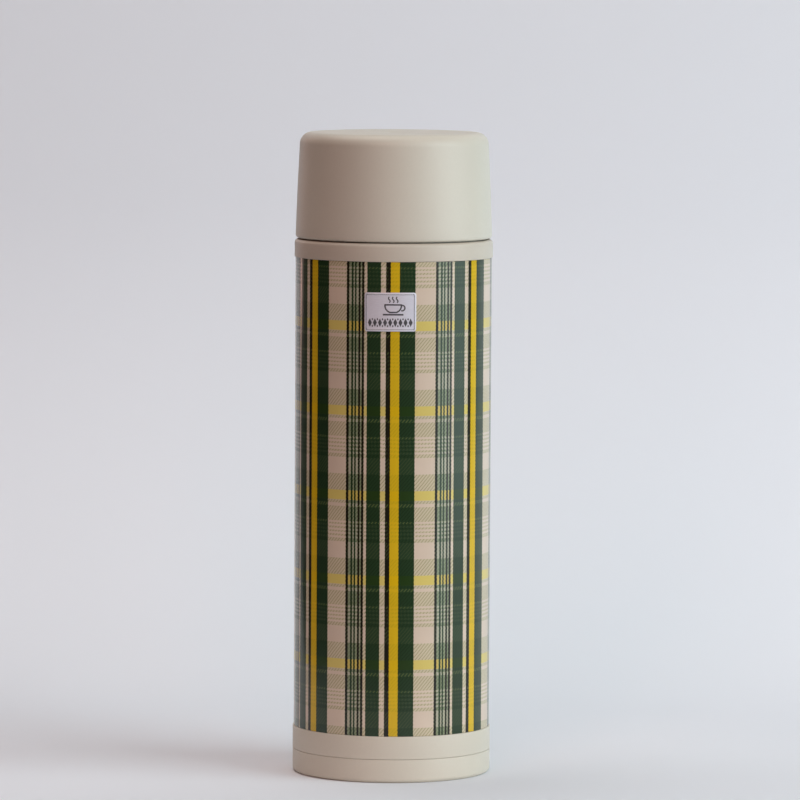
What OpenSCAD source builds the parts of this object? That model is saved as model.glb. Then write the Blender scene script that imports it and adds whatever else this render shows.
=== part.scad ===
// Vacuum flask with a screw-on cup, a screw stopper and a screwed base.
// A double-walled glass liner hangs between a rubber neck gasket and a rubber tail cushion
// inside a printed steel case.  +Z is up, the origin is the centre of the foot, -Y is the front.

/* [Outside] */
// Height of the whole flask, foot to top of the cup
total_h = 268; // [250:1:300]
// Outside diameter of the steel case
case_d = 82; // [80:0.5:88]
// Wall of the steel case
case_t = 0.4; // [0.3:0.1:0.6]
// How far the plastic rings stand proud of the case, on the radius
ring_proud = 0.4; // [0.2:0.1:0.8]

/* [Cup] */
// Height of the cup
cup_h = 44; // [43:0.5:50]
// How much smaller the cup's radius is at its top than at its rim
cup_taper = 1.6; // [1:0.1:2]
// Radius of the cup's top edge
cup_round = 5; // [3:0.5:6]
// Gap between the cup's rim and the collar
rim_gap = 0.5; // [0.3:0.1:0.8]

/* [Collar and base] */
// Height of the collar between case and cup
collar_h = 7.5; // [7:0.5:10]
// Height of the screwed base cap
cap_h = 9.8; // [9.4:0.2:12]
// Height of the fixed ring above the base cap
ring_h = 9.6; // [9:0.2:12]

/* [Glass liner] */
// Inside radius of the glass mouth
mouth_r = 17.5; // [17:0.5:18]
// Gap between the case and the glass
liner_gap = 5; // [4.8:0.1:6]
// Gap between the two glass walls
vacuum_gap = 3.8; // [3.2:0.1:4]
// Thickness of the glass
glass_t = 1.2; // [1:0.1:1.5]

/* [Threads] */
// Rise of the cup's two-start thread in one turn
cup_lead = 10; // [9:0.5:10]
// Rise of the stopper's thread in one turn
stopper_lead = 4; // [3.8:0.1:4]
// Rise of the base cap's two-start thread in one turn
base_lead = 8; // [8:0.5:9]

/* [Badge] */
// Width of the badge, measured along the case
badge_w = 21.4; // [18:0.2:24]
// Height of the badge
badge_h = 16; // [12:0.2:18]
// How far the badge's middle is below the collar
badge_drop = 20.6; // [18:0.2:24]
// Turn of the badge from the front, anticlockwise from above
badge_turn = -1.8; // [-5:0.1:5]

/* [Hidden] */
$fn = 96;

cream = "#d9d2c0";
ivory = "#efece2";
rubber_grey = "#c9c4b8";

// Radii
case_r = case_d / 2;
case_in = case_r - case_t;
ring_r = case_r + ring_proud;
fit = 0.05;                         // gap between pieces that are pushed together
skirt_r = case_in - fit;            // collar and base ring, inside the case
ring_edge = ring_proud - 0.05;      // rounding where these rings meet the case
seam_edge = 0.25;                   // rounding on both sides of the base cap's seam
seam_gap = 0.06;                    // half the gap in that seam
turn_fit = 0.1;                     // gap between pieces that turn in each other
cup_bore = case_r - 2;              // inside of the cup at its rim
neck_r = case_r - 3.7;              // threaded drum of the neck
ridge_h = 1.2;                      // height of the cup's and the base's thread ridges
seat_r = case_r - 3.8;              // threaded drum of the base cap
seat_bore = seat_r + 1.7;           // bore of the base ring

// Heights
ring_z = cap_h;
case_z = cap_h + ring_h;
cup_z = total_h - cup_h;
collar_top = cup_z - rim_gap;
collar_z = collar_top - collar_h;
drum_top = collar_top + 13.5;
lip_top = drum_top + 8;
ledge_z = collar_top + 7.5;
glass_top = ledge_z - 2;

// Pouring sleeve of the neck, around the stopper
sleeve_in = mouth_r + 5.7;
sleeve_out = sleeve_in + 2.2;

// Glass walls: outside radii
outer_r = case_in - liner_gap;
inner_r = outer_r - glass_t - vacuum_gap;
rim_w = 4.5;                        // width of the rim where the two walls are fused
outer_neck_r = mouth_r + rim_w;
dome_z = 42;                        // where the walls turn into their bottom domes
outer_dome_h = 27.6;
inner_dome_h = outer_dome_h - 4.3;
shoulder_z = glass_top - 34;        // where the outer wall starts to turn in
shoulder_h = 20;
tip_z = 8.6;                        // end of the sealed pump-out tip

// Stopper
barrel_r = mouth_r + 3.9;
barrel_in = barrel_r - 2.3;
barrel_z = ledge_z + 0.6;
barrel_top = lip_top + 0.4;
nose_r = mouth_r - 2.3;
nose_z = glass_top - 18;
grip_r = 24.4;
grip_top = barrel_top + 6.6;

// Points on an arc, from angle a to angle b
function arc(x, z, r, a, b, n = 8) =
    [for (i = [0:n]) let (t = a + (b - a) * i / n) [x + r * cos(t), z + r * sin(t)]];

// Quarter of an ellipse below z, from the axis end out to the radius r
function dome(r, h, z, from = 0, n = 16) =
    let (a = asin(from / r))
    [for (i = [0:n]) let (t = a + (90 - a) * i / n) [r * sin(t), z - h * cos(t)]];

// Glass shoulder: a smooth turn from radius r0 at height z up to r1
function shoulder(r0, r1, z, h, n = 12) =
    [for (i = [0:n]) [r0 + (r1 - r0) * (1 - cos(180 * i / n)) / 2, z + h * i / n]];

function backwards(list) = [for (i = [len(list) - 1:-1:0]) list[i]];

// A solid of revolution from its half section
module turned(section) {
    rotate_extrude() polygon(section);
}

// One thread ridge, right-handed, that starts at height z and angle "from".
// Its root sinks into the wall, and both ends taper away.
module ridge(root, crest, z, turns, lead, from = 0, root_w = 1.9, crest_w = 1.1) {
    side = crest > root ? 1 : -1;
    buried = root - side * 0.4;
    steps = ceil(turns * 40);
    fade = 4;
    function height(i) = min(1, 0.15 + 0.85 * min(i, steps - i) / fade);
    function ring(i) =
        let (a = from + 360 * turns * i / steps,
             y = z + lead * turns * i / steps,
             r = root + (crest - root) * height(i),
             w = root_w * (0.5 + 0.5 * height(i)) / 2,
             c = crest_w * (0.5 + 0.5 * height(i)) / 2)
        [for (p = [[buried, -w], [r, -c], [r, c], [buried, w]])
            [p.x * cos(a), p.x * sin(a), y + p.y]];
    points = [for (i = [0:steps]) each ring(i)];
    quads = [for (i = [0:steps - 1], k = [0:3])
                let (p = 4 * i + k, q = 4 * i + (k + 1) % 4)
                [p, q, q + 4, p + 4]];
    sides = [for (q = quads) each [[q[0], q[1], q[2]], [q[0], q[2], q[3]]]];
    faces = concat(sides, [[3, 2, 1, 0]], [[for (k = [0:3]) 4 * steps + k]]);
    polyhedron(points, side > 0 ? faces : [for (f = faces) backwards(f)], convexity = 6);
}

// ---- Cup ----

// Outer wall of the cup, which carries its thread
module cup_shell() {
    top_r = case_r - cup_taper;
    step_z = cup_z + 15;
    wall_top = total_h - cup_round;
    color(cream) union() {
        turned(concat(
            [[cup_bore, cup_z + 0.5], [cup_bore + 0.4, cup_z]],
            arc(case_r - 1.1, cup_z + 1.1, 1.1, -90, 0),
            arc(top_r - cup_round, wall_top, cup_round, 0, 90, 12),
            [[0, total_h], [0, total_h - 2]],
            arc(top_r - cup_round, wall_top, cup_round - 2, 90, 0),
            [[cup_bore - 0.65, step_z], [cup_bore, step_z]]));
        for (start = [0, 180])
            ridge(cup_bore, cup_bore - ridge_h, cup_z + 3.8, 0.7, cup_lead, start);
    }
}

// Inner bowl of the cup, snapped in above the thread
module cup_liner() {
    flange_z = drum_top + 0.5;
    bowl_r = case_r - 6;
    bowl_top = total_h - 3.8;
    color(ivory) turned(concat(
        [[bowl_r + 0.2, flange_z], [cup_bore - turn_fit, flange_z], [cup_bore - turn_fit, flange_z + 1.3],
         [bowl_r + 1.7, flange_z + 1.3], [bowl_r + 1.2, flange_z + 1.9]],
        arc(bowl_r - 5, bowl_top - 5, 5.2, 0, 90),
        [[0, bowl_top + 0.2], [0, bowl_top - 1.2]],
        arc(bowl_r - 5, bowl_top - 5, 3.8, 90, 0),
        [[bowl_r - 0.4, flange_z + 1.2]]));
}

// ---- Stopper ----

// Grip with a fluted rim, plugged into the barrel
module stopper_cap() {
    flutes = 24;
    plug_r = barrel_in - 0.1;
    color(cream) difference() {
        turned(concat(
            [[0, grip_top - 4.6], [plug_r - 1.4, grip_top - 4.6], [plug_r - 1.4, barrel_top - 4.4],
             [plug_r, barrel_top - 4.4], [plug_r, barrel_top + 0.05], [grip_r - 0.6, barrel_top + 0.05],
             [grip_r, barrel_top + 0.7]],
            arc(grip_r - 1.2, grip_top - 1.2, 1.2, 0, 90),
            arc(grip_r - 4.4, grip_top - 1.2, 1.2, 90, 180),
            [[grip_r - 6.2, grip_top - 2.4], [0, grip_top - 2.6]]));
        for (i = [0:flutes - 1])
            rotate(360 * i / flutes)
                translate([grip_r + 0.7, 0, barrel_top - 1]) cylinder(r = 1.5, h = 9);
    }
}

// Hollow barrel and nose with the stopper's thread
module stopper_body() {
    color(ivory) union() {
        turned(concat(
            [[0, nose_z]],
            arc(nose_r - 2.6, nose_z + 2, 2, -90, 0),
            [[nose_r, glass_top - 1.4], [nose_r + 0.6, glass_top - 0.9], [nose_r + 0.6, glass_top - 0.3],
             [nose_r, glass_top - 0.1], [nose_r, barrel_z], [barrel_r - 0.6, barrel_z],
             [barrel_r, barrel_z + 0.6], [barrel_r, barrel_top], [barrel_in, barrel_top],
             [barrel_in, barrel_z + 1.8], [nose_r - 1.8, barrel_z + 1.8],
             [nose_r - 2.6, nose_z + 2.4], [nose_r - 3.2, nose_z + 1.8], [0, nose_z + 1.8]]));
        ridge(barrel_r, barrel_r + 1.4, barrel_z + 2, 1.5, stopper_lead, 0, 1.7, 0.9);
    }
}

// Foam filling of the stopper
module stopper_core() {
    color("white") turned([
        [0, nose_z + 1.9], [nose_r - 3.3, nose_z + 1.9], [nose_r - 2.7, nose_z + 2.5],
        [nose_r - 1.9, barrel_z + 1.9], [barrel_in - 0.1, barrel_z + 1.9],
        [barrel_in - 0.1, barrel_top - 4.5], [barrel_in - 1.6, barrel_top - 4.5],
        [barrel_in - 1.6, grip_top - 4.7], [0, grip_top - 4.7]]);
}

// Ring under the barrel that seals on the glass rim
module stopper_gasket() {
    color(rubber_grey) turned(concat(
        [[nose_r + turn_fit, glass_top + 0.1], [mouth_r + 2.4, glass_top + 0.1]],
        arc(mouth_r + 2.4, glass_top + 0.7, 0.6, -90, 0),
        [[mouth_r + 3, barrel_z - 0.1], [nose_r + turn_fit, barrel_z - 0.1]]));
}

// ---- Neck and collar ----

// Threaded neck with the pouring lip: the cup screws on outside it, the stopper inside it
module pour_neck() {
    foot_z = collar_top - 5.5;
    color(ivory) union() {
        turned(concat(
            [[neck_r - 2, foot_z], [neck_r + 1, foot_z], [neck_r + 1, collar_top - 3.05],
             [neck_r, collar_top - 3.05]],
            arc(neck_r - 0.8, drum_top - 0.8, 0.8, 0, 90),
            [[neck_r - 1.9, drum_top], [neck_r - 3, drum_top - 1.4], [sleeve_out + 1.2, drum_top - 2.4],
             [sleeve_out, drum_top - 1.4], [sleeve_out, lip_top - 1.6]],
            arc(sleeve_out - 0.2, lip_top - 0.7, 0.7, -20, 110),
            [[sleeve_in, lip_top - 1.2], [sleeve_in, ledge_z], [sleeve_in + 1.4, ledge_z],
             [sleeve_in + 1.4, glass_top - 8], [sleeve_in + 3.2, glass_top - 8],
             [sleeve_in + 3.2, drum_top - 4.6], [sleeve_in + 4, drum_top - 4.1],
             [neck_r - 3, drum_top - 3.3], [neck_r - 2, drum_top - 4.2]]));
        for (start = [0, 180])
            ridge(neck_r, neck_r + ridge_h, cup_z + 1.4, 0.8, cup_lead, start + 4);
        ridge(sleeve_in, sleeve_in - 1.2, barrel_z + 1, 2, stopper_lead, 100, 1.7, 0.9);
    }
}

// Coloured collar that holds the neck in the case
module shoulder_collar() {
    color(cream) turned(concat(
        [[skirt_r - 2, collar_z - 10], [skirt_r, collar_z - 10], [skirt_r, collar_z]],
        arc(ring_r - ring_edge, collar_z + ring_edge, ring_edge, -90, 0, 4),
        arc(ring_r - 1.6, collar_top - 1.6, 1.6, 0, 90),
        [[neck_r + 0.1, collar_top], [neck_r + 0.1, collar_top - 3], [skirt_r - 2, collar_top - 3]]));
}

// Rubber ring between the glass rim and the neck
module neck_gasket() {
    out_r = sleeve_in + 1.3;
    color(rubber_grey) turned([
        [mouth_r + 3.3, glass_top - 0.1], [mouth_r + 4.2, glass_top - 0.8],
        [mouth_r + 4.65, glass_top - 2.1], [mouth_r + 4.65, glass_top - 7], [out_r, glass_top - 7],
        [out_r, ledge_z - fit], [mouth_r + 3.3, ledge_z - fit]]);
}

// ---- Case ----

// Printed steel tube
module case_tube() {
    color("darkolivegreen") difference() {
        translate([0, 0, case_z]) cylinder(r = case_r, h = collar_z - case_z);
        translate([0, 0, case_z - 1]) cylinder(r = case_in, h = collar_z - case_z + 2);
    }
}

// Thin metal badge on the front of the case
module badge_plate() {
    corner = 1;
    thick = 0.3;
    badge_z = collar_z - badge_drop;
    half_w = case_r * sin(badge_w / case_r * 90 / PI);
    color("silver") rotate(badge_turn) intersection() {
        turned([[case_r + fit, badge_z - badge_h], [case_r + thick, badge_z - badge_h],
                [case_r + thick, badge_z + badge_h], [case_r + fit, badge_z + badge_h]]);
        translate([0, 0, badge_z]) rotate([90, 0, 0]) linear_extrude(case_d) union() {
            square([2 * half_w, badge_h - 2 * corner], center = true);
            square([2 * half_w - 2 * corner, badge_h], center = true);
            for (x = [-1, 1], y = [-1, 1])
                translate([x * (half_w - corner), y * (badge_h / 2 - corner)]) circle(corner);
        }
    }
}

// ---- Glass liner ----

// Inner glass with the fused rim: it holds the drink
module inner_flask() {
    bowl_r = inner_r - glass_t;
    rim_r = rim_w / 2;
    neck_z = glass_top - rim_r;
    wall_z = shoulder_z - 3;
    color([0.85, 0.9, 0.92]) turned(concat(
        [[0, dome_z - inner_dome_h + glass_t]],
        dome(bowl_r, inner_dome_h - glass_t, dome_z),
        shoulder(bowl_r, mouth_r, wall_z, shoulder_h),
        backwards(arc(mouth_r + rim_r, neck_z, rim_r, 0, 180)),
        [[mouth_r + glass_t, neck_z]],
        backwards(shoulder(inner_r, mouth_r + glass_t, wall_z, shoulder_h)),
        backwards(dome(inner_r, inner_dome_h, dome_z))));
}

// Outer glass with the sealed tip at its bottom
module outer_flask() {
    wall_in = outer_r - glass_t;
    neck_z = glass_top - rim_w / 2;
    color([0.8, 0.86, 0.9]) turned(concat(
        dome(wall_in, outer_dome_h - 1.6, dome_z),
        shoulder(wall_in, outer_neck_r - glass_t, shoulder_z, shoulder_h),
        [[outer_neck_r - glass_t, neck_z - 0.02], [outer_neck_r, neck_z - 0.02]],
        backwards(shoulder(outer_r, outer_neck_r, shoulder_z, shoulder_h)),
        backwards(dome(outer_r, outer_dome_h, dome_z, 4.6)),
        [[2.6, tip_z + 4.4], [1.6, tip_z + 2.2], [0.9, tip_z + 0.4], [0, tip_z]]));
}

// One of the three pads that keep the glass walls apart
module glass_spacer(number) {
    pad_z = dome_z + 18;
    pad_r = 4.5;
    color("tan") rotate(120 * number - 30) intersection() {
        turned([[inner_r + fit, pad_z - 9], [outer_r - glass_t - fit, pad_z - 9],
                [outer_r - glass_t - fit, pad_z + 9], [inner_r + fit, pad_z + 9]]);
        translate([0, 0, pad_z]) rotate([0, 90, 0]) cylinder(r = pad_r, h = case_r);
    }
}

// Soft ring that centres the glass in the case
module liner_bumper() {
    low = shoulder_z - 14;
    color("dimgray") turned([
        [outer_r + 0.1, low], [case_in - 1.6, low], [case_in - 0.1, low + 1.6], [case_in - 0.1, low + 6.4],
        [case_in - 1.6, low + 8], [outer_r + 0.1, low + 8]]);
}

// Rubber cup under the glass, with room for the tip
module tail_cushion() {
    foot_z = 3.65;
    out_r = seat_r - 3.7;
    hole_r = 5.5;
    web = 3;
    gap = 0.3;
    lean = asin(hole_r / (outer_r + gap));
    bed = [for (p = dome(outer_r + gap, outer_dome_h + gap, dome_z, hole_r)) if (p.x < out_r - 1.5) p];
    color("dimgray") turned(concat(
        [[hole_r, dome_z - (outer_dome_h + gap + web) * cos(lean)]],
        bed,
        [[out_r - 1.5, dome_z - (outer_dome_h + gap) * cos(asin((out_r - 1.5) / (outer_r + gap))) + 0.3],
         [out_r, dome_z - outer_dome_h / 2], [out_r, foot_z], [out_r - 4, foot_z],
         [out_r - 4, foot_z + 12]],
        backwards([for (p = bed) if (p.x < out_r - 5 && p.x > hole_r + 0.1) [p.x, p.y - web]])));
}

// ---- Base ----

// Fixed ring at the bottom of the case, with the base cap's thread inside
module base_ring() {
    color(cream) union() {
        turned(concat(
            [[seat_bore, ring_z + seam_gap]],
            arc(ring_r - seam_edge, ring_z + seam_gap + seam_edge, seam_edge, -90, 0, 4),
            arc(ring_r - ring_edge, case_z - ring_edge, ring_edge, 0, 90, 4),
            [[skirt_r, case_z], [skirt_r, case_z + 8.6], [seat_bore, case_z + 8.6]]));
        for (start = [0, 180])
            ridge(seat_bore, seat_bore - ridge_h, ring_z + 2, 0.7, base_lead, start + 4, 1.7, 0.9);
    }
}

// Screwed cap that carries the cushion and is the flask's foot
module base_cap() {
    floor_z = 3.6;
    recess = 1.6;
    foot_in = case_r - 7.5;
    shelf = ring_z - seam_gap;
    drum_z = case_z - 0.4;
    color(cream) union() {
        turned(concat(
            [[0, recess], [foot_in - 0.8, recess], [foot_in, 0]],
            arc(ring_r - 1.8, 1.8, 1.8, -90, 0),
            arc(ring_r - seam_edge, shelf - seam_edge, seam_edge, 0, 90, 4),
            [[seat_r, shelf], [seat_r, drum_z - 0.6], [seat_r - 0.6, drum_z], [seat_r - 2, drum_z],
             [seat_r - 2, floor_z], [0, floor_z]]));
        for (start = [0, 180])
            ridge(seat_r, seat_r + ridge_h, ring_z + 2.2, 0.7, base_lead, start + 94, 1.7, 0.9);
        grip_bar(2 * foot_in - 18, 6, recess);
    }
}

// Bar across the recess of the base cap, to turn it by
module grip_bar(length, width, recess) {
    deep = recess - 0.3;
    translate([-length / 2, -width / 2, 0.3]) cube([length, width, deep + 0.3]);
    for (x = [-1, 1])
        translate([x * length / 2, 0, 0.3]) cylinder(r = width / 2, h = deep + 0.3);
}

cup_shell();
cup_liner();
stopper_cap();
stopper_body();
stopper_core();
stopper_gasket();
pour_neck();
shoulder_collar();
neck_gasket();
case_tube();
badge_plate();
inner_flask();
outer_flask();
for (i = [1:3]) glass_spacer(i);
liner_bumper();
tail_cushion();
base_ring();
base_cap();
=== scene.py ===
"""Vacuum flask with a tartan-printed case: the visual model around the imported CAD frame."""
from math import asin, ceil, cos, hypot, pi, radians, sin, sqrt

import bmesh
import bpy
from mathutils import Euler, Matrix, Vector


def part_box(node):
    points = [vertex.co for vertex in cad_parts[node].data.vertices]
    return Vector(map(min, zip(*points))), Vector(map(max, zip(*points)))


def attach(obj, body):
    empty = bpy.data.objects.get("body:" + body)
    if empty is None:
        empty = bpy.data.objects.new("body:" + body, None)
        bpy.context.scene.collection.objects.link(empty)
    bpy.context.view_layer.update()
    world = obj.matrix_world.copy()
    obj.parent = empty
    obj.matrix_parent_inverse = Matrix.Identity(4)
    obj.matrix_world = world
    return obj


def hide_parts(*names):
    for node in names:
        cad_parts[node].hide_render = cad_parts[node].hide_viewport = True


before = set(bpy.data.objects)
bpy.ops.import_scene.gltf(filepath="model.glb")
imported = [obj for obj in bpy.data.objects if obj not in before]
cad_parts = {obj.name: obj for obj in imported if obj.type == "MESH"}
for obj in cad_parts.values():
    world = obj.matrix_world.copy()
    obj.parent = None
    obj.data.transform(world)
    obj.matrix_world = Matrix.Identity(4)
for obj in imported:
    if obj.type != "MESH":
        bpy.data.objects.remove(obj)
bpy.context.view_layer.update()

MM = 0.001


def span(node):
    """Outside radius, lowest and highest z of a node, in mm."""
    low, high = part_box(node)
    return high.x / MM, low.z / MM, high.z / MM


# ---- Dimensions in mm, from the frame ----
case_r, case_z, collar_z = span("case_tube")
_, cup_z, total_h = span("cup_shell")
ring_r, _, collar_top = span("shoulder_collar")
lip_top = span("pour_neck")[2]
_, nose_z, barrel_top = span("stopper_body")
grip_r, _, grip_top = span("stopper_cap")
outer_r, tip_z, _ = span("outer_flask")
glass_top = span("inner_flask")[2]

# The sizes below repeat the CAD model's own
seam_gap = 0.06
ring_z = span("base_ring")[1] - seam_gap
ring_edge = 0.35
cup_round = 5.0
case_t = 0.4
case_in = case_r - case_t
skirt_r = case_in - 0.05
cup_bore = case_r - 2
neck_r = case_r - 3.7
seat_r = case_r - 3.8
seat_bore = seat_r + 1.7
mouth_r = 17.5
glass_t = 1.2
inner_r = outer_r - glass_t - 3.8
ledge_z = glass_top + 2
sleeve_in = mouth_r + 5.7
sleeve_out = sleeve_in + 2.2
drum_top = lip_top - 8
barrel_r = mouth_r + 3.9
barrel_in = barrel_r - 2.3
barrel_z = ledge_z + 0.6
nose_r = mouth_r - 2.3
dome_z = 42
outer_dome_h = 27.6
shoulder_z = glass_top - 34
cup_lead, stopper_lead, base_lead = 10, 4, 8
badge_w, badge_h, badge_turn = 21.4, 16.0, radians(-1.8)
badge_drop = 20.6
badge_z = collar_z - badge_drop
badge_r = case_r + 0.3


# ---- Mesh tools ----

def arc(x, z, r, a, b, n=8):
    """Points on an arc from angle a to angle b, in degrees."""
    turns = [radians(a + (b - a) * i / n) for i in range(n + 1)]
    return [(x + r * cos(t), z + r * sin(t)) for t in turns]


def wall(r, z0, z1, relief, step=0.25):
    """Rows of an upright wall whose radius the named relief changes."""
    n = max(1, ceil(abs(z1 - z0) / step))
    return [(r, z0 + (z1 - z0) * i / n, relief) for i in range(n + 1)]


def ease(t):
    """A smooth step from 0 to 1."""
    t = min(1.0, max(0.0, t))
    return t * t * (3 - 2 * t)


def thread(root, crest, z, turns, lead, starts=(0,), root_w=1.9, crest_w=1.1):
    """A relief with right-handed ridges that start at height z.  Each ridge grows to its full
    height and width over the first tenth of a turn, and shrinks over the last."""
    def radius(r, height, angle):
        best = 0.0
        for start in starts:
            turn = ((angle - radians(start)) / (2 * pi)) % 1.0
            while turn <= turns:
                full = min(1.0, 0.1 + 0.9 * min(turn, turns - turn) * 10)
                root_half = root_w * (0.5 + 0.5 * full) / 2
                crest_half = crest_w * (0.5 + 0.5 * full) / 2
                off = abs(height - z - lead * turn)
                best = max(best, full * ease((root_half - off) / (root_half - crest_half)))
                turn += 1.0
        return r + (crest - root) * best
    return radius


def build(name, verts, faces, material, body, nodes, sharp=40):
    """Makes a piece from vertices in mm, with its normals outwards, riding on its body."""
    mesh = bpy.data.meshes.new(name)
    mesh.from_pydata([[c * MM for c in v] for v in verts], [], faces)
    work = bmesh.new()
    work.from_mesh(mesh)
    bmesh.ops.recalc_face_normals(work, faces=work.faces)
    work.to_mesh(mesh)
    work.free()
    mesh.shade_smooth()
    mesh.set_sharp_from_angle(angle=radians(sharp))
    mesh.materials.append(material)
    piece = bpy.data.objects.new(name, mesh)
    bpy.context.scene.collection.objects.link(piece)
    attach(piece, body)
    if nodes:
        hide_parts(*nodes)
    return piece


def lathe(name, section, material, body, nodes, segments=192, sharp=40, spots=()):
    """A closed turned piece.  A section point is (r, z) or (r, z, relief).
    spots are extra angles, in degrees, where the mesh gets a column."""
    angles = sorted({2 * pi * i / segments for i in range(segments)}
                    | {radians(a) % (2 * pi) for a in spots})
    verts, rings = [], []
    for point in section:
        r, z = point[:2]
        relief = point[2] if len(point) > 2 else None
        if r < 1e-6:
            rings.append([len(verts)] * len(angles))
            verts.append((0, 0, z))
            continue
        rings.append(list(range(len(verts), len(verts) + len(angles))))
        for a in angles:
            q = relief(r, z, a) if relief else r
            verts.append((q * cos(a), q * sin(a), z))
    faces = []
    for i, low in enumerate(rings):
        high = rings[(i + 1) % len(rings)]
        if low[0] == low[1] and high[0] == high[1]:
            continue
        for k in range(len(angles)):
            n = (k + 1) % len(angles)
            quad = [low[k], low[n], high[n], high[k]]
            faces.append(list(dict.fromkeys(quad)))
    return build(name, verts, faces, material, body, nodes, sharp)


# ---- Material tools ----

class Paint:
    """A node material being made: every method adds a node and returns its output."""

    def __init__(self, name, **sockets):
        self.material = bpy.data.materials.new(name)
        self.material.use_nodes = True
        self.tree = self.material.node_tree
        self.shader = self.tree.nodes["Principled BSDF"]
        self.place = self.node("ShaderNodeTexCoord").outputs["Object"]
        for key, value in sockets.items():
            self.shader.inputs[key.replace("_", " ")].default_value = value

    def node(self, kind, **settings):
        made = self.tree.nodes.new(kind)
        for key, value in settings.items():
            setattr(made, key, value)
        return made

    def plug(self, socket, value):
        if isinstance(value, bpy.types.NodeSocket):
            self.tree.links.new(value, socket)
        else:
            socket.default_value = value

    def math(self, operation, *values):
        made = self.node("ShaderNodeMath", operation=operation)
        for socket, value in zip(made.inputs, values):
            self.plug(socket, value)
        return made.outputs[0]

    def times(self, *values):
        product = values[0]
        for value in values[1:]:
            product = self.math("MULTIPLY", product, value)
        return product

    def rest(self, value):
        return self.math("SUBTRACT", 1.0, value)

    def axes(self):
        made = self.node("ShaderNodeSeparateXYZ")
        self.plug(made.inputs[0], self.place)
        return made.outputs

    def mix(self, factor, a, b, blend="MIX"):
        made = self.node("ShaderNodeMix", data_type="RGBA", blend_type=blend)
        for socket, value in zip((made.inputs[0], made.inputs[6], made.inputs[7]), (factor, a, b)):
            self.plug(socket, value)
        return made.outputs[2]

    def noise(self, scale, detail=2.0, roughness=0.5, stretch=None):
        made = self.node("ShaderNodeTexNoise")
        made.inputs["Scale"].default_value = scale
        made.inputs["Detail"].default_value = detail
        made.inputs["Roughness"].default_value = roughness
        vector = self.place
        if stretch:
            mapping = self.node("ShaderNodeMapping")
            mapping.inputs["Scale"].default_value = stretch
            self.plug(mapping.inputs["Vector"], self.place)
            vector = mapping.outputs[0]
        self.plug(made.inputs["Vector"], vector)
        return made.outputs["Fac"]

    def fit(self, value, a, b, low=0.25, high=0.75):
        """Carries value from low..high to a..b."""
        made = self.node("ShaderNodeMapRange")
        for socket, number in zip(made.inputs, (value, low, high, a, b)):
            self.plug(socket, number)
        return made.outputs[0]

    def steps(self, value, stops):
        """Constant bands: stops are (position, colour with alpha)."""
        made = self.node("ShaderNodeValToRGB")
        ramp = made.color_ramp
        ramp.interpolation = "CONSTANT"
        while len(ramp.elements) > 1:
            ramp.elements.remove(ramp.elements[-1])
        ramp.elements[0].position = stops[0][0]
        ramp.elements[0].color = stops[0][1]
        for position, colour in stops[1:]:
            ramp.elements.new(position).color = colour
        self.plug(made.inputs[0], value)
        return made.outputs

    def bump(self, height, strength, distance):
        made = self.node("ShaderNodeBump")
        made.inputs["Strength"].default_value = strength
        made.inputs["Distance"].default_value = distance
        self.plug(made.inputs["Height"], height)
        self.plug(self.shader.inputs["Normal"], made.outputs[0])

    def set(self, **sockets):
        for key, value in sockets.items():
            self.plug(self.shader.inputs[key.replace("_", " ")], value)
        return self.material


def shade(colour, factor):
    """The colour, lighter or darker by the factor, with alpha 1."""
    return [c * factor for c in colour[:3]] + [1]


def plastic(name, colour, roughness, aged=0.06):
    """Moulded plastic: slightly uneven in colour and gloss, with a fine spark-eroded grain."""
    paint = Paint(name, Specular_IOR_Level=0.45)
    broad = paint.noise(22, 3)
    fine = paint.noise(900, 2)
    specks = paint.noise(2600, 1)
    tone = paint.mix(paint.fit(broad, 0, 1), shade(colour, 1 + aged / 2), shade(colour, 1 - aged / 2))
    tone = paint.mix(paint.fit(fine, 0.0, 0.35), tone, shade(colour, 1 - aged))
    paint.set(Base_Color=tone, Roughness=paint.fit(fine, roughness - 0.05, roughness + 0.06))
    paint.bump(specks, 0.12, 0.00004)
    return paint.material


# ---- Tartan print ----
# Stripe widths in mm.  The warp stripes follow each other to the right, and the weft bands downwards.
# A warp stripe's alpha says how pale it is, and a weft band's whether its dark ink is printed.
CREAM = (0.69, 0.56, 0.44, 1.0)
YELLOW = (0.70, 0.45, 0.010, 0.75)
GREEN = (0.016, 0.043, 0.016, 0.0)
BLACK = (0.010, 0.009, 0.003, 0.0)
FINE = (0.43, 0.41, 0.30, 0.5)
WARP = [(3.65, YELLOW), (6.6, GREEN), (8.95, CREAM),
        (1.2, BLACK), (0.9, FINE), (0.9, GREEN), (0.6, FINE), (0.8, GREEN), (0.95, FINE),
        (0.85, BLACK), (0.55, FINE), (1.12, BLACK),
        (1.13, CREAM), (5.82, GREEN), (2.02, CREAM), (2.08, BLACK)]
DARK = (0.0, 0.0, 0.0, 1.0)
LIGHT = (0.11, 0.14, 0.04, 0.0)
FAINT = (0.05, 0.07, 0.025, 0.0)
PICK = 0.79
WEFT = ([(4.0, FAINT), (1.33, DARK), (1.33, LIGHT), (6.0, DARK), (PICK, LIGHT), (PICK, DARK)]
        + [(PICK, FAINT), (PICK, DARK)] * 4
        + [(0.8, DARK), (6.84, FAINT), (6.88, DARK)])
WARP_START = -1.12
WEFT_START = 191.5
YARN, PASS = 0.3625, 0.425
SWING = 0.06
# Inks that darken what lies under them: the weft's own, more of it on the twill cells and on the
# fine stripes, and the clear yellow, whose last colour is added on the fine stripes
WEFT_INK = (0.88, 0.92, 0.82, 1)
TWILL_INK = (0.55, 0.60, 0.45, 1)
FINE_INK = (0.62, 0.72, 0.66, 1)
GOLD_INK = (1.0, 0.99, 0.35, 1)
GOLD_GLOW = (0.17, 0.05, 0.0, 1)
YELLOW_RESISTS = 0.65


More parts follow.
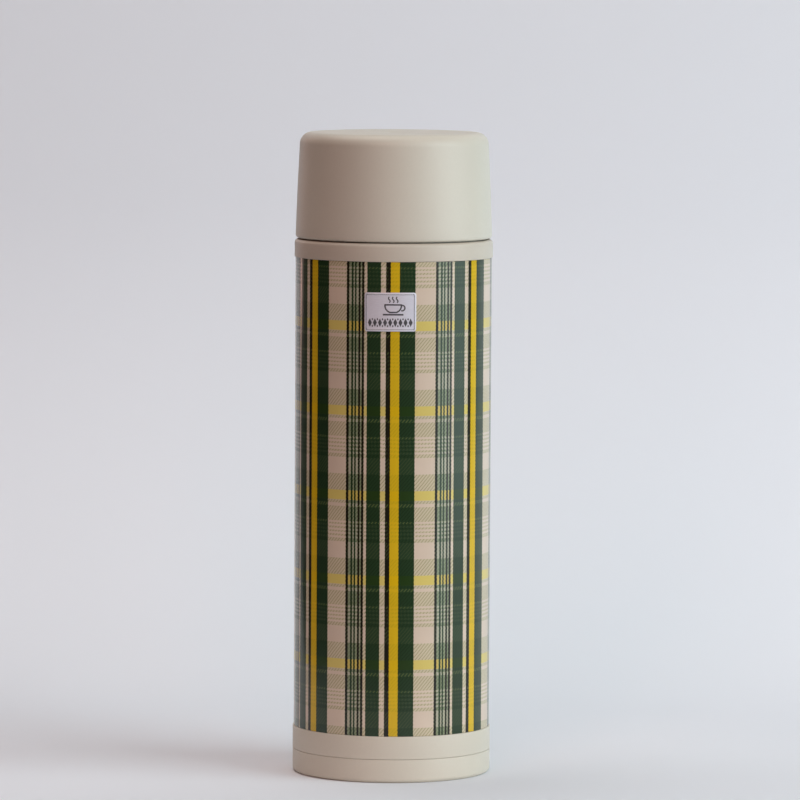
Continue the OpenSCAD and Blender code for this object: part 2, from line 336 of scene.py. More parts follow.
def bands(widths):
    """The width of one repeat in mm, and the colour stops along it."""
    total = sum(width for width, _ in widths)
    stops, at = [], 0.0
    for width, colour in widths:
        stops.append((at / total, colour))
        at += width
    return total, stops


def tartan():
    """Lithographed twill tartan under clear lacquer."""
    paint = Paint("printed_steel", Coat_Weight=0.8, Coat_Roughness=0.14, Coat_IOR=1.45,
                  Specular_IOR_Level=0.1)
    m, times, rest = paint.math, paint.times, paint.rest
    x, y, z = paint.axes()
    across = times(m("ARCTAN2", x, times(y, -1.0)), case_r)
    down = m("MULTIPLY_ADD", z, -1 / MM, WEFT_START)

    # Stripes, with edges that swing out and in with the yarns that cross them
    warp_w, warp_stops = bands(WARP)
    weft_w, weft_stops = bands(WEFT)
    swing = times(m("SINE", times(down, pi / PICK)), SWING)
    warp_at = m("FRACT", m("DIVIDE", m("SUBTRACT", m("ADD", across, swing), WARP_START), warp_w))
    weft_at = m("FRACT", m("DIVIDE", down, weft_w))
    warp, warp_pale = paint.steps(warp_at, warp_stops)
    weft, weft_inked = paint.steps(weft_at, weft_stops)
    on_yellow = m("LESS_THAN", warp_at, WARP[0][0] / warp_w)
    on_dark = m("LESS_THAN", warp_pale, FINE[3] / 2)
    on_fine = m("COMPARE", warp_pale, FINE[3], 0.1)
    in_yellow = m("LESS_THAN", weft_at, WEFT[0][0] / weft_w)

    # Twill: the weft lies on top in one cell of four, on diagonals that rise to the right
    cell = m("ADD", m("FLOOR", m("DIVIDE", across, YARN)), m("FLOOR", m("DIVIDE", down, PASS)))
    on_top = m("LESS_THAN", m("FRACT", m("DIVIDE", cell, 4.0)), 0.2)
    shaded = times(weft_inked, rest(in_yellow), rest(times(on_yellow, YELLOW_RESISTS)))
    lightened = times(rest(weft_inked), rest(in_yellow), on_dark, on_top)
    cloth = paint.mix(shaded, warp, WEFT_INK, "MULTIPLY")
    cloth = paint.mix(times(shaded, on_top), cloth, TWILL_INK, "MULTIPLY")
    cloth = paint.mix(times(shaded, on_fine), cloth, FINE_INK, "MULTIPLY")
    cloth = paint.mix(lightened, cloth, weft)

    # The yellow weft is a clear ink over the rest
    gold = paint.mix(1.0, cloth, GOLD_INK, "MULTIPLY")
    gold = paint.mix(on_fine, gold, GOLD_GLOW, "ADD")
    cloth = paint.mix(in_yellow, cloth, gold)

    # Ink density, and each yarn a little darker at its edges
    yarn_edge = m("ABSOLUTE", m("SUBTRACT", m("FRACT", m("DIVIDE", across, YARN)), 0.5))
    cloth = paint.mix(times(m("POWER", times(yarn_edge, 2.0), 3.0), 0.14), cloth, (0, 0, 0, 1))
    density = paint.fit(paint.noise(60, 4), 0.0, 0.09)
    cloth = paint.mix(density, cloth, (0.05, 0.045, 0.03, 1))
    paint.set(Base_Color=cloth, Roughness=paint.fit(paint.noise(35, 3), 0.4, 0.5))
    paint.bump(paint.noise(160, 2), 0.15, 0.00003)
    return paint.material


def metal(name, colour, roughness, grain):
    """Metal foil with fine rolling lines."""
    paint = Paint(name, Metallic=0.4)
    lines = paint.noise(500, 3, 0.6, stretch=grain)
    tone = paint.mix(paint.fit(lines, 0, 1), shade(colour, 1.05), shade(colour, 0.92))
    paint.set(Base_Color=tone, Roughness=paint.fit(lines, roughness - 0.05, roughness + 0.07))
    paint.bump(lines, 0.1, 0.00002)
    return paint.material


def ink(name, colour):
    """Printed ink, rubbed a little paler in places."""
    paint = Paint(name, Specular_IOR_Level=0.4)
    wear = paint.noise(1500, 3)
    tone = paint.mix(paint.fit(wear, 0, 0.5), shade(colour, 1), (0.2, 0.2, 0.21, 1))
    paint.set(Base_Color=tone, Roughness=paint.fit(wear, 0.3, 0.5))
    return paint.material


def silvering():
    """Glass with a silver mirror behind it: slight streaks where the silver ran."""
    paint = Paint("silvered_glass", Metallic=1.0, Coat_Weight=1.0, Coat_Roughness=0.02)
    runs = paint.noise(60, 3, 0.5, stretch=(1, 1, 0.25))
    tone = paint.mix(paint.fit(runs, 0, 1), (0.86, 0.87, 0.88, 1), (0.74, 0.77, 0.79, 1))
    paint.set(Base_Color=tone, Roughness=paint.fit(runs, 0.04, 0.12))
    return paint.material


def rough_stuff(name, colour, roughness, scale, deep, spread):
    """Rubber, felt or foam: a matt ground broken up by its own grain."""
    paint = Paint(name, Specular_IOR_Level=0.3)
    grain = paint.noise(scale, 4, 0.65)
    tone = paint.mix(paint.fit(grain, 0, 1), shade(colour, 1 + spread), shade(colour, 1 - spread))
    paint.set(Base_Color=tone, Roughness=paint.fit(grain, roughness - 0.06, roughness + 0.06))
    paint.bump(grain, 0.5, deep)
    return paint.material


cream = plastic("cream_plastic", (0.622, 0.576, 0.48), 0.42)
# Painted shade: the collar's plastic is the cup's cream made darker and warmer, for the shade under the cup's
# overhang
collar_painted_shade_cream = plastic("collar_plastic_painted_shade", (0.58, 0.515, 0.425), 0.42)
# Painted light and shade: the base's plastic is a copy of the cup's cream whose tone was set to the light and
# shade that fall on the base
base_painted_light_cream = plastic("base_plastic_painted_light", (0.628, 0.572, 0.472), 0.42)
ivory = plastic("ivory_plastic", (0.83, 0.81, 0.72), 0.38)
stopper_cream = plastic("stopper_plastic", (0.74, 0.69, 0.58), 0.4)
print_coat = tartan()
foil = metal("badge_foil", (0.73, 0.73, 0.80), 0.5, (1, 1, 12))
badge_ink = ink("badge_ink", (0.03, 0.03, 0.035))
mirror = silvering()
seal = rough_stuff("seal_rubber", (0.55, 0.53, 0.49), 0.5, 700, 0.00003, 0.05)
black_rubber = rough_stuff("cushion_rubber", (0.045, 0.045, 0.047), 0.62, 500, 0.00006, 0.25)
felt = rough_stuff("felt", (0.42, 0.38, 0.32), 0.9, 1400, 0.0003, 0.35)
foam = rough_stuff("foam", (0.90, 0.89, 0.85), 0.85, 900, 0.0002, 0.08)


# ---- Cup ----
cup_taper = 1.6
top_r = case_r - cup_taper
wall_top = total_h - cup_round
rim_top = cup_z + 1.1
bulge = 0.12
lathe("cup_wall",
      [(cup_bore + 0.15, cup_z + 0.35)]
      + arc(cup_bore + 0.5, cup_z + 0.4, 0.4, -170, -90, 4)
      + arc(case_r - 1.1, rim_top, 1.1, -90, 0)
      + [(case_r - cup_taper * i / 10 + bulge * sin(pi * i / 10), rim_top + (wall_top - rim_top) * i / 10)
         for i in range(1, 10)]
      + arc(top_r - cup_round, wall_top, cup_round, 0, 90, 16)
      + [(24, total_h - 0.02), (12, total_h - 0.05), (2.4, total_h - 0.06), (1.9, total_h - 0.35),
         (0, total_h - 0.4), (0, total_h - 2)]
      + arc(top_r - cup_round, wall_top, cup_round - 2, 90, 0)
      + [(cup_bore - 0.65, cup_z + 15), (cup_bore - 0.1, cup_z + 14.8)]
      + wall(cup_bore, cup_z + 14.6, cup_z + 0.6,
             thread(cup_bore, cup_bore - 1.2, cup_z + 3.8, 0.7, cup_lead, (0, 180))),
      cream, "cup", ["cup_shell"], segments=256)

flange_z = drum_top + 0.5
bowl_r = case_r - 6
bowl_top = total_h - 3.8
lathe("cup_bowl",
      [(bowl_r + 0.5, flange_z), (cup_bore - 0.3, flange_z), (cup_bore - 0.1, flange_z + 0.2),
       (cup_bore - 0.1, flange_z + 1.1), (cup_bore - 0.3, flange_z + 1.3),
       (bowl_r + 1.7, flange_z + 1.3), (bowl_r + 1.2, flange_z + 1.9)]
      + arc(bowl_r - 5, bowl_top - 5, 5.2, 0, 90, 12)
      + [(0, bowl_top + 0.2), (0, bowl_top - 1.2)]
      + arc(bowl_r - 5, bowl_top - 5, 3.8, 90, 0, 12)
      + [(bowl_r - 0.4, flange_z + 1.2)]
      + arc(bowl_r + 0.4, flange_z + 0.8, 0.8, 180, 270, 6),
      ivory, "cup_inside", ["cup_liner"], segments=224)


# ---- Stopper ----
FLUTES = 24
flute_at, flute_r = grip_r + 0.7, 1.5


def fluted(r, z, angle):
    """Radius cut back by the nearest of the round flutes."""
    pitch = 2 * pi / FLUTES
    off = (angle + pitch / 2) % pitch - pitch / 2
    side = abs(flute_at * sin(off))
    if side >= flute_r:
        return r
    return min(r, flute_at * cos(off) - sqrt(flute_r ** 2 - side ** 2))


plug_r = barrel_in - 0.1
skin = [(grip_r - 0.5, barrel_top + 0.05), (grip_r - 0.15, barrel_top + 0.2), (grip_r, barrel_top + 0.7)]
crown = arc(grip_r - 1.2, grip_top - 1.2, 1.2, 0, 90, 10) + arc(grip_r - 4.4, grip_top - 1.2, 1.2, 90, 180, 6)
lathe("stopper_grip",
      [(0, grip_top - 4.6), (plug_r - 1.4, grip_top - 4.6), (plug_r - 1.4, barrel_top - 4.4),
       (plug_r, barrel_top - 4.4), (plug_r, barrel_top + 0.05)]
      + [(r, z, fluted) for r, z in skin + crown]
      + [(grip_r - 6.0, grip_top - 2.2), (grip_r - 6.4, grip_top - 2.4), (10, grip_top - 2.5),
         (9.6, grip_top - 2.3), (8.9, grip_top - 2.3), (8.5, grip_top - 2.52), (1.8, grip_top - 2.6),
         (1.4, grip_top - 2.85), (0, grip_top - 2.9)],
      stopper_cream, "stopper", ["stopper_cap"], segments=FLUTES * 16)

lathe("stopper_barrel",
      [(0, nose_z)]
      + arc(nose_r - 2.6, nose_z + 2, 2, -90, 0)
      + [(nose_r, glass_top - 1.4), (nose_r + 0.45, glass_top - 1.0), (nose_r + 0.6, glass_top - 0.8),
         (nose_r + 0.6, glass_top - 0.3), (nose_r, glass_top - 0.1), (nose_r, barrel_z),
         (barrel_r - 0.6, barrel_z), (barrel_r - 0.15, barrel_z + 0.15)]
      + wall(barrel_r, barrel_z + 0.6, barrel_top - 0.2,
             thread(barrel_r, barrel_r + 1.4, barrel_z + 2, 1.5, stopper_lead, (0,), 1.7, 0.9), 0.2)
      + [(barrel_r - 0.2, barrel_top), (barrel_in, barrel_top),
         (barrel_in, barrel_z + 1.8), (nose_r - 1.8, barrel_z + 1.8),
         (nose_r - 2.6, nose_z + 2.4), (nose_r - 3.2, nose_z + 1.8), (0, nose_z + 1.8)],
      ivory, "stopper", ["stopper_body"], segments=160)

lathe("stopper_foam",
      [(0, nose_z + 1.9), (nose_r - 3.3, nose_z + 1.9), (nose_r - 2.7, nose_z + 2.5),
       (nose_r - 1.9, barrel_z + 1.9), (barrel_in - 0.1, barrel_z + 1.9),
       (barrel_in - 0.1, barrel_top - 4.5), (barrel_in - 1.6, barrel_top - 4.5),
       (barrel_in - 1.6, grip_top - 4.7), (0, grip_top - 4.7)],
      foam, "stopper", ["stopper_core"], segments=96)

lathe("stopper_seal",
      [(nose_r + 0.1, glass_top + 0.1)]
      + arc(mouth_r + 2.4, glass_top + 0.7, 0.6, -90, 0)
      + [(mouth_r + 3, barrel_z - 0.3), (mouth_r + 2.8, barrel_z - 0.1), (nose_r + 0.1, barrel_z - 0.1)],
      seal, "stopper_seal", ["stopper_gasket"], segments=128)


# ---- Neck and collar ----
foot_z = collar_top - 5.5
lathe("neck",
      [(neck_r - 2, foot_z), (neck_r + 1, foot_z), (neck_r + 1, collar_top - 3.05),
       (neck_r, collar_top - 3.05)]
      + wall(neck_r, collar_top - 0.6, drum_top - 0.8,
             thread(neck_r, neck_r + 1.2, cup_z + 1.4, 0.8, cup_lead, (4, 184)))
      + arc(neck_r - 0.8, drum_top - 0.8, 0.8, 10, 90, 7)
      + arc(neck_r - 1.5, drum_top - 0.4, 0.4, 90, 180, 4)
      + [(neck_r - 3, drum_top - 1.4), (sleeve_out + 1.2, drum_top - 2.4),
         (sleeve_out + 0.3, drum_top - 2.1), (sleeve_out, drum_top - 1.4), (sleeve_out, lip_top - 1.6)]
      + arc(sleeve_out - 0.2, lip_top - 0.7, 0.7, -20, 110, 10)
      + [(sleeve_in + 0.15, lip_top - 0.5), (sleeve_in, lip_top - 1.0)]
      + wall(sleeve_in, lip_top - 1.2, ledge_z,
             thread(sleeve_in, sleeve_in - 1.2, barrel_z + 1, 2, stopper_lead, (100,), 1.7, 0.9), 0.2)
      + [(sleeve_in + 1.4, ledge_z), (sleeve_in + 1.4, glass_top - 8), (sleeve_in + 3.2, glass_top - 8),
         (sleeve_in + 3.2, drum_top - 4.6), (sleeve_in + 4, drum_top - 4.1),
         (neck_r - 3, drum_top - 3.3), (neck_r - 2, drum_top - 4.2)],
      ivory, "flask_body", ["pour_neck"], segments=192)

lathe("collar",
      [(skirt_r - 2, collar_z - 10), (skirt_r - 0.3, collar_z - 10), (skirt_r, collar_z - 9.7),
       (skirt_r, collar_z)]
      + arc(ring_r - ring_edge, collar_z + ring_edge, ring_edge, -90, 0, 6)
      + arc(ring_r - 1.6, collar_top - 1.6, 1.6, 0, 90, 12)
      + [(neck_r + 0.4, collar_top), (neck_r + 0.1, collar_top - 0.3), (neck_r + 0.1, collar_top - 3),
         (skirt_r - 2, collar_top - 3)],
      collar_painted_shade_cream, "flask_body", ["shoulder_collar"], segments=256)

out_r = sleeve_in + 1.3
lathe("neck_seal",
      [(mouth_r + 3.3, glass_top - 0.1), (mouth_r + 4.2, glass_top - 0.8),
       (mouth_r + 4.65, glass_top - 2.1), (mouth_r + 4.65, glass_top - 7), (out_r, glass_top - 7),
       (out_r, ledge_z - 0.05), (mouth_r + 3.3, ledge_z - 0.05)],
      seal, "flask_body", ["neck_gasket"], segments=128)


# ---- Case ----
LAP_W, LAP_STEP = 9, 0.14
STEP_W, RETURN_W = 0.3, 5


def lapped(r, z, angle):
    """The sheet's lap at the back: one end lies under the other and shows as a low step, beyond
    which the sheet comes gently back to its full radius."""
    off = (angle - pi / 2) * case_r
    if not -0.05 < off < LAP_W:
        return r
    if off < LAP_W - RETURN_W:
        return r - LAP_STEP * ease((off + 0.05) / STEP_W)
    return r - LAP_STEP * ease((LAP_W - off) / RETURN_W)


# The extra columns of mesh are where the lap's step is
turn_in = 0.25
lap_spots = [90 + k * 0.12 for k in range(-1, 5)]
lathe("case",
      [(case_in, case_z), (case_r - turn_in, case_z)]
      + [(r, z, lapped) for r, z in arc(case_r - turn_in, case_z + turn_in, turn_in, -60, 0, 4)]
      + wall(case_r, case_z + 2, collar_z - 2, lapped, 8)
      + [(r, z, lapped) for r, z in arc(case_r - turn_in, collar_z - turn_in, turn_in, 0, 60, 4)]
      + [(case_r - turn_in, collar_z), (case_in, collar_z)],
      print_coat, "flask_body", ["case_tube"], segments=256, spots=lap_spots)


# ---- Badge ----
PRINT_DEEP = 0.08


def bent(x, z, r):
    """A point of the badge, x mm to the right of its middle and z mm above it, at radius r."""
    angle = x / case_r + badge_turn
    return r * sin(angle), -r * cos(angle), badge_z + z


def plate(half_w, half_h, corner, columns=88, rows=64):
    """The badge's sheet: a rim, a shallow field inside it, and rounded edges."""
    verts, faces = [], []
    for layer in (0, 1):
        for i in range(columns + 1):
            x = half_w * (2 * i / columns - 1)
            near = max(0.0, abs(x) - (half_w - corner))
            top = half_h - corner + sqrt(max(0.0, corner ** 2 - near ** 2))
            for j in range(rows + 1):
                t = 2 * j / rows - 1
                z = top * t
                inset = min(half_w - abs(x), top - abs(z))
                roll = 0.07 * (1 - ease(inset / 0.3))
                field = 0.05 * ease((inset - 0.9) / 0.3)
                r = badge_r - roll - field if layer else case_r + 0.05
                verts.append(bent(x, z, r))
    stride = rows + 1
    block = (columns + 1) * stride
    for layer in (0, 1):
        for i in range(columns):
            for j in range(rows):
                a = layer * block + i * stride + j
                faces.append([a, a + 1, a + 1 + stride, a + stride])
    rim = ([(i, 0) for i in range(columns)] + [(columns, j) for j in range(rows)]
           + [(i, rows) for i in range(columns, 0, -1)] + [(0, j) for j in range(rows, 0, -1)])
    loop = [i * stride + j for i, j in rim]
    for k, a in enumerate(loop):
        b = loop[(k + 1) % len(loop)]
        faces.append([a, b, b + block, a + block])
    return verts, faces


def ribbon(path, width, closed=False):
    """A printed line along path, as a thin strip with square edges, bent round the case."""
    verts, faces = [], []
    n = len(path)
    for i, (x, z) in enumerate(path):
        before = path[(i - 1) % n] if closed or i else path[i]
        after = path[(i + 1) % n] if closed or i < n - 1 else path[i]
        dx, dz = after[0] - before[0], after[1] - before[1]
        size = hypot(dx, dz)
        nx, nz = -dz / size * width / 2, dx / size * width / 2
        for side, r in ((-1, -PRINT_DEEP), (1, -PRINT_DEEP), (1, 0), (-1, 0)):
            verts.append(bent(x + side * nx, z + side * nz, badge_r + r))
    for i in range(n if closed else n - 1):
        a, b = 4 * i, 4 * ((i + 1) % n)
        faces += [[a + k, a + (k + 1) % 4, b + (k + 1) % 4, b + k] for k in range(4)]
    if not closed:
        faces += [[0, 1, 2, 3], [4 * n - 4, 4 * n - 3, 4 * n - 2, 4 * n - 1]]
    return verts, faces


def patch(outline):
    """A printed convex shape."""
    n = len(outline)
    verts = [bent(x, z, badge_r + r) for r in (-PRINT_DEEP, 0) for x, z in outline]
    faces = [[k, (k + 1) % n, n + (k + 1) % n, n + k] for k in range(n)]
    return verts, faces + [list(range(n)), list(range(n, 2 * n))]


def gather(shapes):
    verts, faces = [], []
    for v, f in shapes:
        faces += [[k + len(verts) for k in face] for face in f]
        verts += v
    return verts, faces


def frame_line(half_w, half_h, corner):
    points = []
    for cx, cz, a in ((1, 1, 0), (-1, 1, 90), (-1, -1, 180), (1, -1, 270)):
        points += arc(cx * (half_w - corner), cz * (half_h - corner), corner, a, a + 90, 6)
    dense = []
    for k, (x0, z0) in enumerate(points):
        x1, z1 = points[(k + 1) % len(points)]
        n = max(1, ceil(hypot(x1 - x0, z1 - z0) / 0.8))
        dense += [(x0 + (x1 - x0) * i / n, z0 + (z1 - z0) * i / n) for i in range(n)]
    return dense


verts, faces = plate(badge_w / 2, badge_h / 2, 1.0)
build("badge", verts, faces, foil, "flask_body", ["badge_plate"], 50)

# Generic printed design: a steaming cup on a saucer over a row of lozenges
bowl_x, bowl_line = 1.2, 0.58
cup_side = [(-3.4, 3.0), (-3.35, 2.2), (-3.0, 1.2), (-2.3, 0.4), (-1.4, -0.1)]
marks = [ribbon(frame_line(badge_w / 2 - 0.72, badge_h / 2 - 0.72, 0.5), 0.34, True)]
for flip in (-1, 1):
    marks.append(ribbon([(bowl_x + flip * x, z) for x, z in cup_side], bowl_line))
marks += [ribbon([(bowl_x - 3.6 + 0.6 * k, 3.0) for k in range(13)], bowl_line),
          ribbon([(bowl_x - 1.6 + 0.64 * k, -0.1) for k in range(6)], bowl_line),
          ribbon([(bowl_x - 4.2 + 0.7 * k, -1.05) for k in range(13)], 0.66),
          ribbon(arc(bowl_x + 3.65, 1.7, 1.15, -110, 100, 14), 0.55)]
for x in (-0.4, 1.2, 2.8):
    marks.append(ribbon([(x + 0.35 * sin(2 * pi * k / 10), 3.9 + 0.24 * k) for k in range(11)], 0.46))
for k in range(9):
    x = -8.4 + 2.1 * k
    marks.append(patch([(x - 0.82, -4.35), (x, -6.1), (x + 0.82, -4.35), (x, -2.6)]))
    if k < 8:
        marks.append(patch([(x + 0.7, -5.75), (x + 1.05, -6.25), (x + 1.4, -5.75), (x + 1.05, -5.25)]))
        marks.append(patch([(x + 0.7, -2.95), (x + 1.05, -3.45), (x + 1.4, -2.95), (x + 1.05, -2.45)]))
verts, faces = gather(marks)
build("badge_print", verts, faces, badge_ink, "flask_body", [], 50)


# ---- Glass liner ----
def dome(r, h, z, start=0.0, n=24):
    """An elliptical bottom of radius r and depth h below z, from radius start outwards."""
    a = asin(start / r)
    turns = [a + (pi / 2 - a) * i / n for i in range(n + 1)]
    return [(r * sin(t), z - h * cos(t)) for t in turns]


def shoulder(r0, r1, z, h, n=20):
    """A smooth S from radius r0 at z to radius r1 at z + h."""
    return [(r0 + (r1 - r0) * (1 - cos(pi * i / n)) / 2, z + h * i / n) for i in range(n + 1)]


bowl = inner_r - glass_t
rim = 4.5 / 2
neck_z = glass_top - rim
inner_dome_h = outer_dome_h - 4.3
lathe("glass_inner",
      [(0, dome_z - inner_dome_h + glass_t)]
      + dome(bowl, inner_dome_h - glass_t, dome_z)[1:]
      + shoulder(bowl, mouth_r, shoulder_z - 3, 20)
      + arc(mouth_r + rim, neck_z, rim, 180, 0, 14)
      + [(mouth_r + glass_t, neck_z)]
      + shoulder(inner_r, mouth_r + glass_t, shoulder_z - 3, 20)[::-1]
      + dome(inner_r, inner_dome_h, dome_z)[::-1],
      mirror, "flask_body", ["inner_flask"], segments=160, sharp=70)
wall_in = outer_r - glass_t
outer_neck = mouth_r + 4.5
lathe("glass_outer",
      dome(wall_in, outer_dome_h - 1.6, dome_z)
      + shoulder(wall_in, outer_neck - glass_t, shoulder_z, 20)
      + [(outer_neck - glass_t, neck_z - 0.02), (outer_neck, neck_z - 0.02)]
      + shoulder(outer_r, outer_neck, shoulder_z, 20)[::-1]
      + dome(outer_r, outer_dome_h, dome_z, 4.6)[::-1]
      + [(3.4, tip_z + 5.3), (2.6, tip_z + 4.2), (2.0, tip_z + 3.0), (1.6, tip_z + 2.0), (1.3, tip_z + 1.1),
         (0.8, tip_z + 0.3), (0, tip_z)],
      mirror, "flask_body", ["outer_flask"], segments=160, sharp=70)


pad_r, pad_z = 4.5, dome_z + 18


def pad(turn, around=40, rings=8):
    """A round pad between the glass walls at the angle turn, with its edges rounded off."""
    verts, faces = [], []
    half = rings * around
    sides = ((inner_r + 0.05, 1), (wall_in - 0.05, -1))
    for r, inwards in sides:
        for ring in range(1, rings + 1):
            q = ring / rings
            side_r = r + inwards * 0.35 * ease((q - 0.7) / 0.3)
            for k in range(around):
                t = 2 * pi * k / around
                a = turn + pad_r * q * cos(t) / (inner_r + 2)
                verts.append((side_r * cos(a), side_r * sin(a), pad_z + pad_r * q * sin(t)))
    for side, (r, _) in enumerate(sides):
        verts.append((r * cos(turn), r * sin(turn), pad_z))
        for k in range(around):
            n = (k + 1) % around
            faces.append([2 * half + side, side * half + k, side * half + n])
            for ring in range(rings - 1):
                a = side * half + ring * around
                faces.append([a + k, a + n, a + around + n, a + around + k])
    last = (rings - 1) * around
    for k in range(around):
        n = (k + 1) % around
        faces.append([last + k, last + n, half + last + n, half + last + k])
    return verts, faces


for number in (1, 2, 3):
    verts, faces = pad(radians(120 * number - 30))
    build("spacer_%d" % number, verts, faces, felt, "flask_body", ["glass_spacer_%d" % number], 50)

low = shoulder_z - 14
lathe("bumper",
      [(outer_r + 0.1, low + 0.6)] + arc(outer_r + 0.7, low + 0.6, 0.6, 180, 270, 4)
      + arc(case_in - 1.7, low + 1.6, 1.6, -90, 0, 6) + arc(case_in - 1.7, low + 6.4, 1.6, 0, 90, 6)
      + arc(outer_r + 0.7, low + 7.4, 0.6, 90, 180, 4),
      felt, "flask_body", ["liner_bumper"], segments=128, sharp=60)

gap, web, hole = 0.3, 3.0, 5.5
cushion_r = seat_r - 3.7
bed = [p for p in dome(outer_r + gap, outer_dome_h + gap, dome_z, hole) if p[0] < cushion_r - 1.5]
lean = asin(hole / (outer_r + gap))
rim_lean = asin((cushion_r - 1.5) / (outer_r + gap))
lathe("cushion",
      [(hole, dome_z - (outer_dome_h + gap + web) * cos(lean))] + bed
      + [(cushion_r - 1.5, dome_z - (outer_dome_h + gap) * cos(rim_lean) + 0.3),
         (cushion_r, dome_z - outer_dome_h / 2), (cushion_r, 4.0), (cushion_r - 0.4, 3.65),
         (cushion_r - 4, 3.65), (cushion_r - 4, 15.65)]
      + [(r, z - web) for r, z in bed if hole + 0.1 < r < cushion_r - 5][::-1],
      black_rubber, "base_inside", ["tail_cushion"], segments=128)


# ---- Base ----
seam_edge = 0.14
ring_low = ring_z + seam_gap
lathe("base_ring_band",
      [(seat_bore, ring_low)]
      + arc(ring_r - seam_edge, ring_low + seam_edge, seam_edge, -90, 0, 5)
      + arc(ring_r - ring_edge, case_z - ring_edge, ring_edge, 0, 90, 6)
      + [(skirt_r, case_z), (skirt_r, case_z + 8.3), (skirt_r - 0.3, case_z + 8.6),
         (seat_bore, case_z + 8.6)]
      + wall(seat_bore, case_z + 6, ring_z + 0.3,
             thread(seat_bore, seat_bore - 1.2, ring_z + 2, 0.7, base_lead, (4, 184), 1.7, 0.9)),
      base_painted_light_cream, "flask_body", ["base_ring"], segments=256)

recess = 1.6
foot_in = case_r - 7.5
shelf = ring_z - seam_gap
drum_z = case_z - 0.4
lathe("base_foot",
      [(0, recess), (1.6, recess), (1.9, recess + 0.25), (2.6, recess + 0.25), (2.9, recess),
       (foot_in - 6.2, recess), (foot_in - 5.9, recess - 0.3), (foot_in - 5.1, recess - 0.3),
       (foot_in - 4.8, recess), (foot_in - 1.2, recess), (foot_in - 0.8, recess - 0.15),
       (foot_in - 0.2, 0.35)]
      + arc(foot_in + 0.35, 0.35, 0.35, 200, 270, 4)
      + [(foot_in + 2.6, 0), (foot_in + 2.8, 0.2), (foot_in + 3.4, 0.2), (foot_in + 3.6, 0)]
      + arc(ring_r - 1.8, 1.8, 1.8, -90, 0, 14)
      + arc(ring_r - seam_edge, shelf - seam_edge, seam_edge, 0, 90, 5)
      + [(seat_r, shelf)]
      + wall(seat_r, shelf + 0.2, drum_z - 0.6,
             thread(seat_r, seat_r + 1.2, ring_z + 2.2, 0.7, base_lead, (94, 274), 1.7, 0.9), 0.2)
      + [(seat_r - 0.15, drum_z - 0.15), (seat_r - 0.6, drum_z), (seat_r - 2, drum_z), (seat_r - 2, 3.6),
         (0, 3.6)],
      base_painted_light_cream, "base", ["base_cap"], segments=256)


def bar(length, half_w, levels):
    """A bar along x with round ends.  A level is (inset, z), and the levels go down to its face."""
    ends = [(length / 2 * side, radians(a)) for side, first in ((1, -90), (-1, 90))
            for a in range(first, first + 181, 10)]
    verts, faces = [], []
    for inset, z in levels:
        verts += [(x + (half_w - inset) * cos(a), (half_w - inset) * sin(a), z) for x, a in ends]
    n = len(ends)
    for low in range(0, (len(levels) - 1) * n, n):
        for i in range(n):
            k = (i + 1) % n
            faces.append([low + i, low + k, low + n + k, low + n + i])
    return verts, faces + [list(range(n)), list(range((len(levels) - 1) * n, len(levels) * n))]


# The bar across the recess is there to turn the base by
verts, faces = bar(2 * foot_in - 18, 3.0, [(0.0, recess + 0.3), (0.0, recess + 0.05), (0.0, 0.65),
                                           (0.1, 0.42), (0.3, 0.32), (0.6, 0.3)])
build("base_grip", verts, faces, base_painted_light_cream, "base", [], 40)


# ---- Set: one pale sheet that is floor and backdrop ----
def backdrop():
    """The sheet has one side and thins out away from the flask: it blocks no view and shows no edge.
    It is open under the flask's foot, so that light reaches the underside from below."""
    back, bend, reach = 0.42, 0.22, 1.3
    paint = Paint("paper", Specular_IOR_Level=0.1)
    tone = paint.mix(paint.fit(paint.noise(3, 4), 0, 1), (0.80, 0.82, 0.85, 1), (0.78, 0.80, 0.83, 1))
    paint.set(Base_Color=tone, Roughness=paint.fit(paint.noise(60, 2), 0.8, 0.9))
    length = paint.node("ShaderNodeVectorMath", operation="LENGTH")
    paint.plug(length.inputs[0], paint.place)
    distance = length.outputs["Value"]
    x, y, _ = paint.axes()
    near = paint.fit(distance, 1.0, 0.0, 0.8, reach)
    past_foot = paint.fit(distance, 0.0, 1.0, (foot_in + 3.5) * MM, (foot_in + 4.5) * MM)
    front_side = paint.rest(paint.node("ShaderNodeNewGeometry").outputs["Backfacing"])
    right_part = paint.fit(x, 0.0, 1.0, -0.42, -0.34)
    back_part = paint.fit(y, 0.0, 1.0, -0.4, -0.22)
    shown = paint.times(near, past_foot, right_part, back_part, front_side)
    blend = paint.node("ShaderNodeMixShader")
    paint.plug(blend.inputs[0], shown)
    paint.plug(blend.inputs[1], paint.node("ShaderNodeBsdfTransparent").outputs[0])
    paint.plug(blend.inputs[2], paint.shader.outputs[0])
    paint.plug(paint.tree.nodes["Material Output"].inputs["Surface"], blend.outputs[0])

    line = [(-reach, 0.0), (back - bend, 0.0)]
    line += arc(back - bend, bend, bend, -85, 0, 17)
    line += [(back, reach)]
    verts = [(x, y, z) for y, z in line for x in (-reach, reach)]
    faces = [[2 * i, 2 * i + 1, 2 * i + 3, 2 * i + 2] for i in range(len(line) - 1)]
    mesh = bpy.data.meshes.new("set_sheet")
    mesh.from_pydata(verts, [], faces)
    mesh.shade_smooth()
    mesh.materials.append(paint.material)
    sheet = bpy.data.objects.new("set_sheet", mesh)
    bpy.context.scene.collection.objects.link(sheet)


AIM_Z = 0.14
COOL = (0.82, 0.95, 1.0)


def soft_light(name, azimuth, elevation, distance, width, height, power, colour):
    """A panel aimed at the flask's middle.  Azimuth 0 is in front of it and 90 to its right."""
    data = bpy.data.lights.new(name, "AREA")
    data.shape = "RECTANGLE"
    data.size, data.size_y = width, height
    data.energy, data.color = power, colour
    light = bpy.data.objects.new(name, data)
    bpy.context.scene.collection.objects.link(light)
    turn = Euler((pi / 2 - radians(elevation), 0, radians(azimuth))).to_matrix().to_4x4()
    away = turn @ Matrix.Translation((0, 0, distance))
    light.matrix_world = Matrix.Translation((0, 0, AIM_Z)) @ away


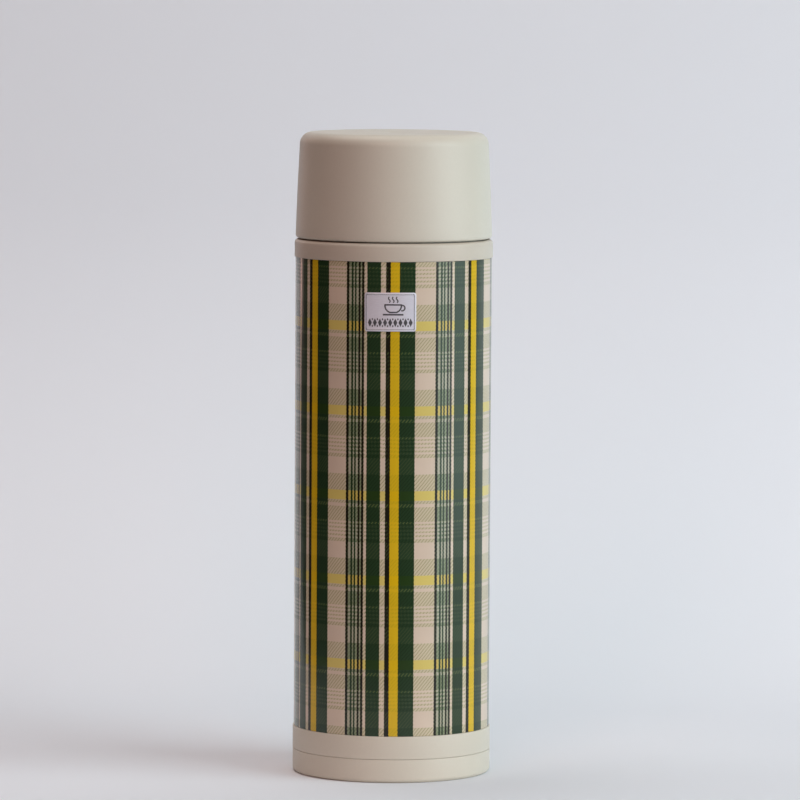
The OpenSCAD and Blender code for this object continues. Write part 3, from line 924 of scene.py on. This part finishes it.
backdrop()
soft_light("key", 62, 25, 3.2, 2.4, 1.8, 50.7, COOL)
soft_light("window", 72, 8, 1.6, 1.2, 1.2, 10.1, COOL)
soft_light("front_right", 35, 25, 2.0, 1.2, 1.2, 6.0, COOL)
soft_light("front", -8, 28, 2.4, 1.6, 1.2, 17.0, (1.0, 0.6, 0.53))
soft_light("top", 0, 85, 2.0, 1.4, 1.4, 3.8, COOL)
soft_light("top_left", -120, 70, 1.5, 1.0, 1.0, 7.4, (1.0, 0.95, 0.92))
soft_light("back_left", -150, 15, 1.6, 1.0, 1.0, 5.7, (1.0, 0.61, 0.55))
# A small faint panel below the sheet's opening, for views of the underside
soft_light("under", 0, -90, 0.44, 0.07, 0.07, 0.4, (1.0, 0.97, 0.94))


def room(light, strength, seen):
    """The room around the set is dim, and the camera sees it as pale as the sheet."""
    world = bpy.data.worlds.new("studio")
    bpy.context.scene.world = world
    world.use_nodes = True
    links, nodes = world.node_tree.links, world.node_tree.nodes
    dim = nodes["Background"]
    dim.inputs["Color"].default_value = light
    dim.inputs["Strength"].default_value = strength
    pale = nodes.new("ShaderNodeBackground")
    pale.inputs["Color"].default_value = seen
    blend = nodes.new("ShaderNodeMixShader")
    links.new(nodes.new("ShaderNodeLightPath").outputs["Is Camera Ray"], blend.inputs[0])
    links.new(dim.outputs[0], blend.inputs[1])
    links.new(pale.outputs[0], blend.inputs[2])
    links.new(blend.outputs[0], nodes["World Output"].inputs["Surface"])


room((0.9, 0.92, 1.0, 1), 0.01, (0.66, 0.68, 0.72, 1))


# ---- Camera ----
def look(place, lens, down, side, roll):
    """A camera at place, in metres, that looks along +Y, turned by small angles in radians."""
    data = bpy.data.cameras.new("camera")
    data.lens = lens
    data.sensor_width = 36
    data.clip_end = 20
    camera = bpy.data.objects.new("camera", data)
    bpy.context.scene.collection.objects.link(camera)
    turn = Euler((pi / 2 - down, 0, side)).to_matrix() @ Matrix.Rotation(roll, 3, "Z")
    camera.matrix_world = Matrix.Translation(place) @ turn.to_4x4()
    bpy.context.scene.camera = camera


look(place=(0, -2.533, 0.3577), lens=273.2, down=0.0795, side=-0.00117, roll=0.0055)
bpy.context.scene.view_settings.view_transform = "Standard"
bpy.context.scene.view_settings.look = "None"
